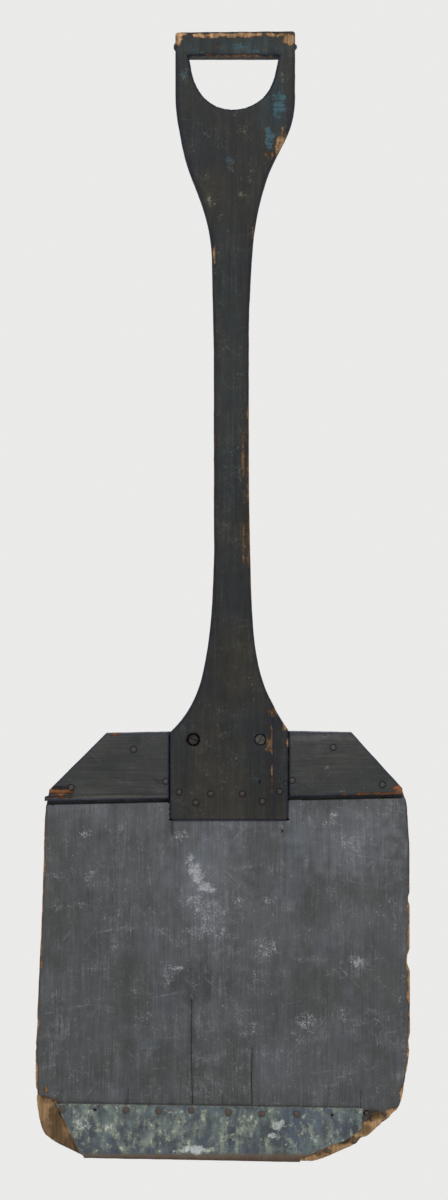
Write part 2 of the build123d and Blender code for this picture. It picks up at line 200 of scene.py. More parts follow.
def patch(points, places):
    """0 to 1 over soft ellipses, each given as x, z, half width, half height and strength."""
    value = np.zeros(len(points))
    if not places:
        return value
    xs, zs = points[:, 0], points[:, 1]
    drift_x = grain_many(xs, zs, 9, 9, 51) + 0.5 * grain_many(xs, zs, 4, 4, 52)
    drift_z = grain_many(xs, zs, 9, 16, 53) + 0.5 * grain_many(xs, zs, 4, 7, 54)
    for x, z, half_x, half_z, strength in places:
        reach = np.hypot((xs - x) / half_x + 0.55 * drift_x, (zs - z) / half_z + 0.55 * drift_z)
        value = np.maximum(value, strength * (1 - smooth(0.45, 1.15, reach)))
    return value


# ------------------------------------------------------------------ wooden plates


# how much of each kind of soft patch on a board's front shows on its back too
BACK_SHARE = {"worn": 0.8, "kept": 0.0, "pale": 0.35, "hue": 0.35, "light": 0.35, "dark_stain_and_shade": 0.35}


class Plate:
    """A board cut from the CAD node of the same name, with its worn edges, cracks, painted shadow lines and
    nail seats.
    """

    def __init__(self, node, loops, step, spacing, rows=(0.5, 1.2, 2.2, 3.6, 5.2, 7.0)):
        self.node, self.step, self.spacing, self.rows = node, step, spacing, rows
        self.loops = [resample(loop, step) for loop in loops]
        self.seats = []
        self.cracks_and_shadow_lines = []
        self.steps = []
        self.nicks = []
        self.edge_loss = 0.35
        self.edge_soft = 0.8
        self.relief = 0.25
        self.attributes = {}
        self.snug = []

    def seat(self, x, z, radius, depth, face):
        """A round hole for a nail or screw head, as deep below the face as its floor."""
        self.seats.append((x, z, radius, face + depth * MM))

    def plan(self):
        """Scatters the points of both faces and joins them into triangles."""
        rim = np.vstack(self.loops)
        fine = [resample(loop, 0.4) for loop in self.loops]
        tree = tree_of(np.vstack(fine))
        fine_normals = np.vstack([inward(loop) for loop in fine])

        def from_edge(points):
            return np.array([tree.find((x, z, 0))[2] for x, z in points])

        sets = []
        for loop in self.loops:
            normals = inward(loop)
            for i, row in enumerate(self.rows):
                shift = 0.5 * (i % 2)
                base = loop * (1 - shift) + np.roll(loop, -1, axis=0) * shift
                sets.append((base + normals * row, 0.93 * row))
        ring_points = []
        for x, z, radius, _ in self.seats:
            rings = (radius + 0.7, 20), (radius + 0.12, 24), (radius - 0.12, 24), (radius * 0.5, 10)
            for r, count in rings:
                turn = np.linspace(0, 2 * math.pi, count, endpoint=False)
                ring_points.append(np.stack([x + r * np.cos(turn), z + r * np.sin(turn)], 1))
            ring_points.append(np.array([[x, z]]))
        line_points = []
        for line, width, _ in self.cracks_and_shadow_lines:
            for offset in (-1.0, -0.42, 0.0, 0.42, 1.0):
                line_points.append(beside(line, offset * width, 1.3))
        for line in self.steps:
            for offset in (-0.9, -0.1, 0.1, 0.9):
                line_points.append(beside(line, offset, 1.6))
        near = [np.vstack(group) for group in (ring_points, line_points) if group]
        special = np.vstack(near) if near else np.zeros((0, 2))
        if len(special):
            special = special[inside(special, self.loops)]
            special = special[from_edge(special) > 0.35]

        low, high, pitch = rim.min(0), rim.max(0), self.spacing
        xs = np.arange(low[0], high[0], pitch)
        zs = np.arange(low[1], high[1], pitch * 0.866)
        grid = np.array([(x + (pitch / 2 if j % 2 else 0), z) for j, z in enumerate(zs) for x in xs])
        draw = np.random.default_rng(7)
        grid += draw.uniform(-0.12, 0.12, grid.shape) * pitch
        grid = grid[inside(grid, self.loops)]
        grid = grid[from_edge(grid) > self.rows[-1] + 0.5 * pitch]
        body = [grid]
        for points, reach in sets:
            points = points[inside(points, self.loops)]
            body.append(points[from_edge(points) > reach])
        body = np.vstack(body)
        if len(special):
            close = tree_of(special)
            gap = np.array([close.find((x, z, 0))[2] for x, z in body])
            body = body[gap > 0.7]
        points = np.vstack([rim, special, body])

        edges, start = [], 0
        for loop in self.loops:
            count = len(loop)
            edges += [(start + i, start + (i + 1) % count) for i in range(count)]
            start += count
        found = geometry.delaunay_2d_cdt([Vector(p) for p in points], edges, [], 0, 1e-5)
        verts, faces = np.array([tuple(v) for v in found[0]]), np.array(found[2])
        middle = verts[faces].mean(1)
        faces = faces[inside(middle, self.loops)]
        a, b, c = (verts[faces[:, i]] for i in range(3))
        turn = (b[:, 0] - a[:, 0]) * (c[:, 1] - a[:, 1]) - (b[:, 1] - a[:, 1]) * (c[:, 0] - a[:, 0])
        faces[turn < 0] = faces[turn < 0][:, ::-1]
        used = np.unique(faces)
        renumber = np.full(len(verts), -1)
        renumber[used] = np.arange(len(used))
        self.flat, self.faces = verts[used], renumber[faces]
        near_edge = [tree.find((x, z, 0)) for x, z in self.flat]
        self.gap = np.array([n[2] for n in near_edge])
        self.edge_way = fine_normals[[n[1] for n in near_edge]]

    def rim_edges(self):
        """The triangles' open edges, in order round the outlines."""
        pairs = np.vstack([self.faces[:, [0, 1]], self.faces[:, [1, 2]], self.faces[:, [2, 0]]])
        return open_edges(tuple(pair) for pair in pairs)

    def depths(self):
        """How far back each face lies at each point, by looking at the CAD node from both sides."""
        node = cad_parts[self.node].data
        node.calc_loop_triangles()
        corners = [v.co.copy() for v in node.vertices]
        tree = BVHTree.FromPolygons(corners, [tuple(t.vertices) for t in node.loop_triangles])
        front, back = np.zeros(len(self.flat)), np.zeros(len(self.flat))
        nudge = np.clip(0.04 - self.gap, 0, 1)[:, None] * self.edge_way
        for i, (x, z) in enumerate(self.flat + nudge):
            for sign, store in ((1, front), (-1, back)):
                for tries in range(4):
                    shift = self.edge_way[i] * 0.12 * tries
                    origin = Vector((row_x(x + shift[0]), -sign * 0.5, row_z(z + shift[1])))
                    hit = tree.ray_cast(origin, Vector((0, sign, 0)))[0]
                    if hit is not None:
                        break
                store[i] = hit.y if hit is not None else (FOOT_FRONT if sign > 0 else BACK)
        for x, z, radius, floor in self.seats:
            held = np.hypot(self.flat[:, 0] - x, self.flat[:, 1] - z) < radius
            front[held] = floor
        return front, back

    def build(self, name, material, carve=None):
        self.plan()
        front, back = self.depths()
        flat, gap = self.flat, self.gap
        x, z = flat[:, 0], flat[:, 1]
        loss = self.edge_loss * (0.55 + 0.9 * np.abs(grain_many(x, z, 22, 22, 3)))
        loss += 0.25 * self.edge_loss * grain_many(x, z, 5, 5, 9)
        for line, reach in self.snug:
            loss = loss * smooth(0.5 * reach, reach, distance_to_line(flat, line))
        nick = np.zeros(len(flat))
        for nx, nz, reach, deep in self.nicks:
            away = np.hypot(x - nx, z - nz) / reach
            nick = np.maximum(nick, deep * (1 - smooth(0.2, 1.0, away)))
        pull = np.clip(loss, 0, None) * np.clip(1 - gap / 7, 0, 1) ** 1.5
        pull += nick * np.clip(1 - gap / 8, 0, 1)
        flat_worn = flat + self.edge_way * pull[:, None]
        round_front = self.edge_soft * (0.8 + 1.2 * np.abs(grain_many(x, z, 30, 30, 5)))
        round_back = self.edge_soft * (0.8 + 1.2 * np.abs(grain_many(x, z, 30, 30, 6)))
        soften = np.clip(1 - gap / 2.6, 0, 1) ** 2
        swell = self.relief * grain_many(x, z, 60, 160, 11) + 0.3 * self.relief * grain_many(x, z, 9, 60, 12)
        dip = np.zeros(len(flat))
        for line, width, deep in self.cracks_and_shadow_lines:
            away = distance_to_line(flat, line)
            dip = np.maximum(dip, deep * np.clip(1 - away / (0.9 * width), 0, 1))
        front = front + MM * (round_front * soften + np.clip(swell + self.relief, 0, None) + dip)
        swell_back = self.relief * grain_many(x, z, 60, 160, 21) + self.relief
        back = back - MM * (round_back * soften + np.clip(swell_back, 0, None))
        if carve is not None:
            front = front + MM * carve(flat)
        thin = back - front < 1.5 * MM
        middle = (front + back) / 2
        front[thin], back[thin] = middle[thin] - 0.75 * MM, middle[thin] + 0.75 * MM

        count = len(flat)
        across, up = row_x(flat_worn[:, 0]), row_z(flat_worn[:, 1])
        verts = [np.stack([across, front, up], 1), np.stack([across, back, up], 1)]
        faces = [tuple(f) for f in self.faces] + [tuple(f[::-1] + count) for f in self.faces]
        rim = self.rim_edges()
        on_rim = sorted({a for pair in rim for a in pair})
        place = {v: i for i, v in enumerate(on_rim)}
        rim_index = np.array(on_rim)
        wall = float(np.median(back[rim_index] - front[rim_index])) / MM
        wall_rows = max(2, int(round(wall / 2.4)))
        start = 2 * count
        for row in range(1, wall_rows):
            t = row / wall_rows
            y = front[rim_index] * (1 - t) + back[rim_index] * t
            rough = np.array([
                0.35 * noise.noise(Vector((flat[i, 0] / 8, y_i / MM / 3, flat[i, 1] / 8)))
                for i, y_i in zip(rim_index, y)
            ])
            side = flat_worn[rim_index] + self.edge_way[rim_index] * np.abs(rough)[:, None]
            verts.append(np.stack([row_x(side[:, 0]), y, row_z(side[:, 1])], 1))
        verts = np.vstack(verts)

        def column(v):
            down = [start + (r - 1) * len(on_rim) + place[v] for r in range(1, wall_rows)]
            return [v] + down + [v + count]

        for a, b in rim:
            left, right = column(a), column(b)
            faces += [(left[r], left[r + 1], right[r + 1], right[r]) for r in range(wall_rows)]
        sheet_edge = np.exp(-gap / 2.5)
        down = np.repeat(np.arange(1, wall_rows) / wall_rows, len(on_rim))
        wall_edge = np.exp(-wall * np.minimum(down, 1 - down) / 2.5)
        wall_points = np.tile(flat[rim_index], (wall_rows - 1, 1))
        drawing = np.vstack([flat, flat, wall_points])
        sides = [np.zeros(count), np.ones(count), np.full(len(verts) - 2 * count, 0.5)]
        in_front, behind = np.concatenate(sides) < 0.25, np.concatenate(sides) > 0.75
        # masks for the near-black colour along cracks and round seats, partly painted shade
        crack_and_shadow_line, ring = np.zeros(len(drawing)), np.zeros(len(drawing))
        for line, width, deep in self.cracks_and_shadow_lines:
            away = distance_to_line(drawing, line) / width
            crack_and_shadow_line = np.maximum(crack_and_shadow_line, min(1.0, 0.15 + deep) * np.clip(1 - away / 1.7, 0, 1))
        for sx, sz, radius, _ in self.seats:
            off = np.abs(np.hypot(drawing[:, 0] - sx, drawing[:, 1] - sz) - radius)
            ring = np.maximum(ring, np.clip(1 - off / 0.95, 0, 1))
        edge = np.concatenate([sheet_edge, sheet_edge, wall_edge])
        values = {"edge": edge, "crack_and_shadow_line": crack_and_shadow_line * in_front, "ring": ring * in_front}
        for key, back_share in BACK_SHARE.items():
            share = np.where(in_front, 1.0, np.where(behind, back_share, 0.5 + 0.4 * back_share))
            values[key] = patch(drawing, self.attributes.get(key, [])) * share
        return make_mesh(name, verts, faces, material, values)


def open_edges(pairs):
    """Of the directed edges of some faces, those that no face beside them shares."""
    seen = dict.fromkeys(pairs)
    return [(a, b) for a, b in seen if (b, a) not in seen]


def beside(line, offset, step):
    """Points along a drawn line of straight runs, set off to one side of it."""
    out = []
    for a, b in zip(line[:-1], line[1:]):
        a, b = np.array(a, float), np.array(b, float)
        run = b - a
        length = np.linalg.norm(run)
        count = max(2, int(length / step))
        t = np.linspace(0, 1, count)
        side = np.array([-run[1], run[0]]) / length
        out.append(a + t[:, None] * run + side * offset)
    return np.vstack(out)


def make_mesh(name, verts, faces, material, values=None, sharp=42):
    mesh = bpy.data.meshes.new(name)
    mesh.from_pydata([tuple(v) for v in verts], [], [tuple(int(i) for i in f) for f in faces])
    mesh.validate()
    for key, data in (values or {}).items():
        layer = mesh.attributes.new(key, "FLOAT", "POINT")
        layer.data.foreach_set("value", np.asarray(data, np.float32))
    mesh.materials.append(material)
    obj = bpy.data.objects.new(name, mesh)
    bpy.context.scene.collection.objects.link(obj)
    mesh.polygons.foreach_set("use_smooth", [True] * len(mesh.polygons))
    bm = bmesh.new()
    bm.from_mesh(mesh)
    bmesh.ops.recalc_face_normals(bm, faces=bm.faces[:])
    for edge in bm.edges:
        if len(edge.link_faces) == 2 and edge.calc_face_angle(0) > math.radians(sharp):
            edge.smooth = False
    bm.to_mesh(mesh)
    bm.free()
    return obj


# ------------------------------------------------------------------ shader nodes


class Paint:
    """A material being built, with short calls for the nodes that it needs."""

    def __init__(self, name):
        self.material = bpy.data.materials.new(name)
        self.material.use_nodes = True
        self.tree = self.material.node_tree
        self.tree.nodes.clear()
        self.shader = self.add("ShaderNodeBsdfPrincipled")
        output = self.add("ShaderNodeOutputMaterial")
        self.tree.links.new(self.shader.outputs[0], output.inputs[0])
        self.place = self.add("ShaderNodeTexCoord").outputs["Object"]

    def add(self, kind, **settings):
        node = self.tree.nodes.new(kind)
        for key, value in settings.items():
            setattr(node, key, value)
        return node

    def put(self, socket, value):
        if isinstance(value, bpy.types.NodeSocket):
            self.tree.links.new(value, socket)
        else:
            if isinstance(value, (tuple, list)) and len(value) == 3 and socket.type == "RGBA":
                value = (*value, 1.0)
            socket.default_value = value

    def math(self, operation, a, b):
        node = self.add("ShaderNodeMath", operation=operation)
        self.put(node.inputs[0], a)
        self.put(node.inputs[1], b)
        return node.outputs[0]

    def sum(self, a, b):
        return self.math("ADD", a, b)

    def product(self, a, b):
        return self.math("MULTIPLY", a, b)

    def mapped(self, vector, key, value):
        node = self.add("ShaderNodeMapping")
        self.put(node.inputs["Vector"], vector)
        node.inputs[key].default_value = value
        return node.outputs[0]

    def scaled(self, scale, vector=None):
        return self.mapped(vector or self.place, "Scale", scale)

    def turned(self, angle, vector):
        """A place turned about the depth of the board."""
        return self.mapped(vector, "Rotation", (0, angle, 0))

    def noise(self, scale, detail=4.0, rough=0.55, stretch=None, distortion=0.0):
        """Noise whose cells are 1/scale metres, drawn out by the stretch along each axis."""
        vector = self.scaled(stretch) if stretch else self.place
        return self.noise_at(vector, scale, detail, rough, distortion)

    def moved(self, seed):
        """The place shifted, so that the same pattern can be used again elsewhere."""
        node = self.add("ShaderNodeVectorMath", operation="ADD")
        self.put(node.inputs[0], self.place)
        node.inputs[1].default_value = (0.37 * seed, 0.0, 0.61 * seed)
        return node.outputs[0]

    def noise_at(self, vector, scale, detail, rough, distortion=0.0):
        node = self.add("ShaderNodeTexNoise")
        self.put(node.inputs["Vector"], vector)
        settings = {"Scale": scale, "Detail": detail, "Roughness": rough, "Distortion": distortion}
        for key, number in settings.items():
            node.inputs[key].default_value = number
        return node.outputs["Fac"]

    def step(self, value, low, high, to_low=0.0, to_high=1.0):
        node = self.add("ShaderNodeMapRange", interpolation_type="SMOOTHSTEP")
        self.put(node.inputs["Value"], value)
        for key, number in zip(("From Min", "From Max", "To Min", "To Max"), (low, high, to_low, to_high)):
            node.inputs[key].default_value = number
        return node.outputs["Result"]

    def mix(self, factor, a, b, blend="MIX"):
        node = self.add("ShaderNodeMix", data_type="RGBA", blend_type=blend)
        self.put(node.inputs["Factor"], factor)
        self.put(node.inputs[6], a)
        self.put(node.inputs[7], b)
        return node.outputs[2]

    def cover(self, colour, over, value, low, high, share=1.0):
        """A colour laid over another where a value rises from low to high."""
        return self.mix(self.step(value, low, high, 0, share), colour, over)

    def attribute(self, name):
        return self.add("ShaderNodeAttribute", attribute_name=name).outputs["Fac"]

    def bump(self, height, strength, distance, under=None):
        node = self.add("ShaderNodeBump")
        self.put(node.inputs["Height"], height)
        node.inputs["Strength"].default_value = strength
        node.inputs["Distance"].default_value = distance
        if under is not None:
            self.put(node.inputs["Normal"], under)
        return node.outputs[0]

    def finish(self, colour, roughness, normal, specular=0.35):
        self.put(self.shader.inputs["Base Color"], colour)
        self.put(self.shader.inputs["Roughness"], roughness)
        self.put(self.shader.inputs["Normal"], normal)
        self.shader.inputs["Specular IOR Level"].default_value = specular
        return self.material


def srgb(r, g, b):
    """A colour given by its 0 to 255 screen values, as the linear values that shaders use."""
    return tuple(((c / 255 + 0.055) / 1.055) ** 2.4 if c > 10 else c / 255 / 12.92 for c in (r, g, b))


CHIP = 0.62                     # wear above which the paint is gone
ALONG_Z = (1.0, 1.0, 0.045)
ALONG_X = (0.045, 1.0, 1.0)


def total(p, *terms):
    """The sum of values, each less its middle and times its gain."""
    whole = 0.0
    for value, gain, middle in terms:
        share = p.product(p.math("SUBTRACT", value, middle), gain)
        whole = p.sum(share, whole)
    return whole


def times(p, colour, value):
    """A colour made lighter or darker by a value near 1."""
    return p.mix(1.0, colour, value, blend="MULTIPLY")


def scratches(p, scale, turn, low, high, seed):
    """Sparse thin marks that run one way and fade in and out."""
    at = p.scaled((1.0, 1.0, 0.03), vector=p.turned(turn, p.moved(seed)))
    lines = p.noise_at(at, scale, 1.5, 0.45, distortion=0.6)
    where = p.noise_at(p.moved(seed + 0.5), 17.0 + seed, 5.0, 0.7)
    return p.product(p.step(lines, low, high), p.step(where, 0.50, 0.66))


def painted_wood(name, tones, timber, way, chalk, tint, edge_shade_colour, brush, dust, marks):
    """Old paint over a board: its grain shows through, and worn places show the wood."""
    p = Paint(name)
    edge, worn, kept = p.attribute("edge"), p.attribute("worn"), p.attribute("kept")
    crack_and_shadow_line, ring = p.attribute("crack_and_shadow_line"), p.attribute("ring")
    pale, hue, light, dark_stain_and_shade = (p.attribute(key) for key in ("pale", "hue", "light", "dark_stain_and_shade"))
    broad = p.noise(8.0, 5.0, 0.62)
    drift = p.noise(22.0, 5.0, 0.62, stretch=tuple(0.5 + 0.5 * c for c in way))
    cloud = p.noise(44.0, 6.0, 0.66)
    patchy = p.noise(115.0, 5.0, 0.62)
    speck = p.noise(620.0, 3.0, 0.6)
    fibres = p.noise(330.0, 5.0, 0.6, stretch=way)
    streaks = p.noise(90.0, 5.0, 0.62, stretch=way)
    hairs = p.noise(900.0, 3.0, 0.55, stretch=tuple(0.6 * c for c in way))

    colour = p.mix(p.step(broad, 0.38, 0.62), tones[0], tones[1])
    colour = p.cover(colour, tones[2], drift, 0.46, 0.66, 0.85)
    # lighter patches: partly lighter paint, partly painted highlight on the grip bar and along the right
    # wing's top edge
    colour = p.mix(p.product(light, 0.6), colour, tones[3])
    # darker patches: partly stains, partly painted shade in the left screw's counterbore and just under the
    # foot's corners
    colour = p.mix(p.product(dark_stain_and_shade, 0.7), colour, (0.020, 0.019, 0.017))
    colour = times(p, colour, p.step(streaks, 0.28, 0.72, 1 - brush, 1 + brush))
    colour = times(p, colour, p.step(hairs, 0.32, 0.70, 0.90, 1.11))
    colour = times(p, colour, p.step(cloud, 0.30, 0.70, 0.88, 1.13))
    colour = times(p, colour, p.step(p.noise(1500.0, 2.0, 0.5), 0.30, 0.70, 0.90, 1.10))
    film = p.noise(34.0, 8.0, 0.76, stretch=(0.8, 1.0, 1.1), distortion=0.3)
    haze = total(p, (film, 1.0, 0.0), (pale, 0.16, 0.0), (speck, 0.3, 0.5), (hairs, 0.3, 0.5))
    colour = p.cover(colour, chalk, haze, 0.52, 0.80, 1.25 * marks)
    # chalky scuffs, made of fine dots
    dots = p.noise(1150.0, 2.5, 0.6)
    scuff = total(
        p, (pale, 0.85, -dust), (cloud, 0.9, 0.5), (speck, 1.6, 0.5), (dots, 1.6, 0.5), (patchy, 1.3, 0.5)
    )
    colour = p.cover(colour, chalk, scuff, 0.44, 1.05, 0.9)
    # older paint that shows through, in brush strokes across the grain
    strokes = p.noise(420.0, 4.0, 0.6, stretch=(0.16, 1.0, 1.0))
    under = total(p, (hue, 0.9, 0.0), (patchy, 1.4, 0.5), (strokes, 1.7, 0.5), (speck, 0.9, 0.5))
    colour = p.cover(colour, tint, under, 0.42, 0.96, 0.8)
    fine = scratches(p, 420.0, 0.12, 0.63, 0.73, 1.0)
    for scale, turn, seed in ((380.0, -0.7, 2.0), (440.0, 1.4, 3.0), (400.0, 1.75, 4.0), (460.0, 0.8, 5.0)):
        fine = p.math("MAXIMUM", fine, scratches(p, scale, turn, 0.63, 0.73, seed))
    fine = p.product(fine, p.step(patchy, 0.40, 0.60, 0.15, 1.0))
    colour = p.mix(p.product(fine, marks), colour, chalk)
    # painted shade: a darker, tinted colour laid along the rounded edges and the side walls
    colour = p.mix(p.product(p.step(edge, 0.30, 0.95), 0.75), colour, edge_shade_colour)
    # bare wood where hands, nails and grain have worn the paint away
    level = total(
        p, (edge, 0.40, 0.0), (worn, 0.9, 0.0), (kept, -1.0, 0.0), (cloud, 0.55, 0.5),
        (patchy, 0.85, 0.5), (speck, 0.8, 0.5), (streaks, 0.55, 0.5), (fibres, 0.35, 0.5),
    )
    exposed = p.step(level, CHIP, CHIP + 0.12)
    wood = p.mix(p.step(level, CHIP + 0.04, CHIP + 0.26), timber[0], timber[1])
    wood = p.mix(p.step(level, CHIP + 0.26, CHIP + 0.60), wood, timber[2])
    wood = times(p, wood, p.step(fibres, 0.30, 0.68, 0.66, 1.14))
    wood = times(p, wood, p.step(drift, 0.40, 0.62, 1.05, 0.72))
    # bare wood darker under the same patches, partly painted shade
    wood = times(p, wood, p.step(dark_stain_and_shade, 0.0, 1.0, 1.0, 0.34))
    colour = p.mix(exposed, colour, wood)
    # near-black along cracks and round nail and screw seats: partly dirt, partly painted shade in these
    # crevices and painted shadow lines beside the metal edge
    crevice_dirt_and_shade = p.math("MAXIMUM", p.product(crack_and_shadow_line, 0.9), p.product(ring, 0.6))
    colour = p.mix(crevice_dirt_and_shade, colour, (0.008, 0.007, 0.007))
    rough = p.step(p.sum(cloud, p.product(exposed, 0.35)), 0.3, 0.9, 0.55, 0.85)
    height = p.sum(p.product(fibres, 0.45), p.product(exposed, -0.4))
    height = p.sum(height, p.product(speck, 0.2))
    normal = p.bump(height, 0.5, 0.0006)
    normal = p.bump(p.sum(streaks, p.product(patchy, 0.4)), 0.4, 0.0012, under=normal)
    return p.finish(colour, rough, normal, specular=0.10)


TIMBER = (srgb(60, 46, 37), srgb(112, 86, 62), srgb(164, 132, 96))
RED_TIMBER = (srgb(52, 36, 28), srgb(80, 52, 36), srgb(118, 80, 54))
handle_paint = painted_wood(
    "handle_paint",
    (srgb(42, 42, 40), srgb(38, 40, 42), srgb(48, 46, 41), srgb(40, 56, 62)),
    TIMBER, ALONG_Z, chalk=srgb(104, 106, 92), tint=srgb(54, 82, 92), edge_shade_colour=srgb(26, 31, 54),
    brush=0.10, dust=0.15, marks=0.13,
)
wing_paint = painted_wood(
    "wing_paint",
    (srgb(54, 55, 54), srgb(50, 52, 53), srgb(60, 60, 58), srgb(86, 86, 84)),
    RED_TIMBER, ALONG_X, chalk=srgb(124, 126, 122), tint=srgb(66, 76, 80), edge_shade_colour=srgb(36, 42, 64),
    brush=0.08, dust=0.06, marks=0.09,
)
blade_paint = painted_wood(
    "blade_paint",
    (srgb(71, 72, 73), srgb(67, 68, 68), srgb(77, 80, 84), srgb(103, 107, 113)),
    TIMBER, ALONG_Z, chalk=srgb(150, 151, 156), tint=srgb(62, 78, 90), edge_shade_colour=srgb(66, 54, 58),
    brush=0.09, dust=0.14, marks=0.24,
)


def fastener_metal(name, paint_colour, rust_colour, amount):
    """Iron heads: the paint of the wood round them, rust coming through it."""
    p = Paint(name)
    blotch = p.noise(420.0, 4.0, 0.6)
    pits = p.noise(1500.0, 3.0, 0.6)
    rust = p.step(blotch, 0.62 - amount * 0.3, 0.72 - amount * 0.3)
    colour = p.mix(rust, paint_colour, rust_colour)
    colour = p.cover(colour, tuple(0.4 * c for c in rust_colour), pits, 0.55, 0.7, 0.5)
    normal = p.bump(p.sum(pits, blotch), 0.5, 0.0004)
    return p.finish(colour, p.step(pits, 0.3, 0.7, 0.45, 0.75), normal, specular=0.35)


nail_in_handle = fastener_metal("nail_in_handle", srgb(44, 42, 39), srgb(62, 44, 35), 0.5)
nail_in_wing = fastener_metal("nail_in_wing", srgb(52, 53, 52), srgb(62, 56, 50), 0.3)
nail_rusty = fastener_metal("nail_rusty", srgb(66, 60, 56), srgb(74, 58, 50), 0.6)
screw_bright = fastener_metal("screw_bright", srgb(62, 63, 58), srgb(46, 42, 36), 0.4)
screw_dull = fastener_metal("screw_dull", srgb(36, 35, 32), srgb(30, 25, 22), 0.6)
rivet_metal = fastener_metal("rivet_metal", srgb(34, 38, 46), srgb(56, 48, 44), 0.2)


def sheet_paint():
    """Flaking slate paint on thin sheet iron, pale mottling and rust towards the lip."""
    p = Paint("sheet_paint")
    edge, low, pale, hole = (p.attribute(key) for key in ("edge", "low", "pale", "hole"))
    broad = p.noise(22.0, 5.0, 0.6)
    cloud = p.noise(60.0, 6.0, 0.68, stretch=(1.0, 1.0, 0.75))
    blotch = p.noise(130.0, 6.0, 0.66, stretch=(1.0, 1.0, 0.7))
    flake = p.noise(210.0, 6.0, 0.7)
    speck = p.noise(700.0, 3.0, 0.6)
    runs = p.noise(190.0, 4.0, 0.6, stretch=(1.0, 1.0, 0.14))
    colour = p.mix(p.step(cloud, 0.36, 0.62), srgb(58, 64, 70), srgb(86, 97, 96))
    colour = p.cover(colour, srgb(66, 76, 92), broad, 0.44, 0.60, 0.55)
    thin = total(p, (blotch, 1.0, 0.0), (cloud, 0.5, 0.5), (pale, 0.10, 0.0))
    colour = p.cover(colour, srgb(110, 119, 108), thin, 0.47, 0.64, 0.8)
    cream = total(p, (flake, 1.0, 0.0), (blotch, 0.6, 0.5), (pale, 0.08, 0.0))
    colour = p.cover(colour, srgb(150, 155, 136), cream, 0.585, 0.70, 0.85)
    smear = p.sum(p.product(pale, 0.62), p.product(flake, 0.8))
    smear = p.sum(smear, p.product(speck, 0.3))
    colour = p.cover(colour, srgb(166, 172, 172), smear, 0.92, 1.18, 0.85)
    worn_spots = total(p, (p.noise(170.0, 5.0, 0.65), 1.0, 0.0), (speck, 0.3, 0.5))
    colour = p.cover(colour, srgb(58, 54, 50), worn_spots, 0.56, 0.68, 0.75)
    colour = times(p, colour, p.step(runs, 0.30, 0.70, 0.78, 1.25))
    colour = times(p, colour, p.step(speck, 0.32, 0.68, 0.86, 1.16))
    rust = p.sum(p.product(low, 0.9), p.product(blotch, 0.5))
    rust = p.sum(rust, p.product(flake, 0.35))
    colour = p.cover(colour, srgb(88, 76, 62), rust, 0.78, 1.08, 0.85)
    colour = p.cover(colour, srgb(74, 56, 44), rust, 1.12, 1.34, 0.9)
    bright = p.sum(p.product(edge, 0.55), p.product(flake, 0.9))
    colour = p.cover(colour, srgb(128, 122, 98), bright, 0.86, 1.02, 0.6)
    colour = p.mix(p.product(hole, 0.9), colour, srgb(38, 28, 22))
    height = p.sum(p.step(blotch, 0.48, 0.60), p.product(flake, 0.8))
    height = p.sum(height, p.product(speck, 0.4))
    normal = p.bump(height, 0.55, 0.0005)
    normal = p.bump(cloud, 0.5, 0.002, under=normal)
    rough = p.step(p.sum(cloud, p.step(rust, 0.8, 1.2)), 0.3, 1.2, 0.42, 0.8)
    return p.finish(colour, rough, normal, specular=0.3)


sheet_material = sheet_paint()


# ------------------------------------------------------------------ fasteners


def middle_of(node):
    low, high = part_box(node)
    return (low + high) / 2, low, high


def head(node, material, seed, height=None, lean=(0.0, 0.0), lump=0.15):
    """A hammered nail head and its shank, in place of the CAD nail."""
    middle, low, high = middle_of(node)
    radius = (high.x - low.x) / 2
    height = height or 0.3 * radius
    rings, turns = 7, 28
    verts, faces = [], []
    for i in range(rings + 1):
        t = i / rings
        angle = t * math.pi / 2
        r = radius * math.sin(angle)
        y = height * (1 - math.cos(angle))
        for j in range(turns):
            a = 2 * math.pi * j / turns
            along, up = math.cos(a), math.sin(a)
            rough = 1 + lump * t * noise.noise(Vector((along * 1.4 + seed, up * 1.4, seed * 2.3)))
            bump = lump * height * noise.noise(Vector((r * 900 * along, r * 900 * up, seed)))
            x, z = r * rough * along, r * rough * up
            verts.append((middle.x + x, low.y + y + bump + lean[0] * x + lean[1] * z, middle.z + z))
    shank = radius * 0.5
    for depth in (height, high.y - low.y - radius, high.y - low.y):
        r = shank if depth < high.y - low.y else shank * 0.15
        for j in range(turns):
            a = 2 * math.pi * j / turns
            verts.append((middle.x + r * math.cos(a), low.y + depth, middle.z + r * math.sin(a)))
    rows = rings + 1 + 3
    for i in range(rows - 1):
        for j in range(turns):
            k = (j + 1) % turns
            faces.append((i * turns + j, i * turns + k, (i + 1) * turns + k, (i + 1) * turns + j))
    faces.append([(rows - 1) * turns + j for j in range(turns)])
    obj = make_mesh(node + "_look", verts, faces, material, sharp=60)
    bm = bmesh.new()
    bm.from_mesh(obj.data)
    bmesh.ops.remove_doubles(bm, verts=bm.verts[:], dist=1e-6)
    bm.to_mesh(obj.data)
    bm.free()
    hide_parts(node)
    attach(obj, "root")


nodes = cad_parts


def named(start):
    return sorted(node for node in nodes if node.startswith(start))


foot_nails, strip_nails = named("foot_nail"), named("side_strip_")
left_wing_nails, right_wing_nails = named("left_wing_nail"), named("right_wing_nail")
edge_nails = named("edge_nail")
for i, node in enumerate(foot_nails + strip_nails):
    head(node, nail_in_handle, i)
for i, node in enumerate(left_wing_nails + right_wing_nails):
    head(node, nail_in_wing, 20 + i)
for i, node in enumerate(edge_nails):
    tilt = (0.12 * math.sin(i * 2.1), 0.1 * math.cos(i * 1.7))
    head(node, nail_rusty, 40 + i, height=1.5 * MM, lean=tilt, lump=0.3)
metals = {
    "foot_screw_left": screw_dull, "foot_screw_right": screw_bright,
    "grip_rivet": rivet_metal, "rivet_burr": rivet_metal,
}
for node, metal in metals.items():
    nodes[node].data.materials.clear()
    nodes[node].data.materials.append(metal)


# ------------------------------------------------------------------ handle


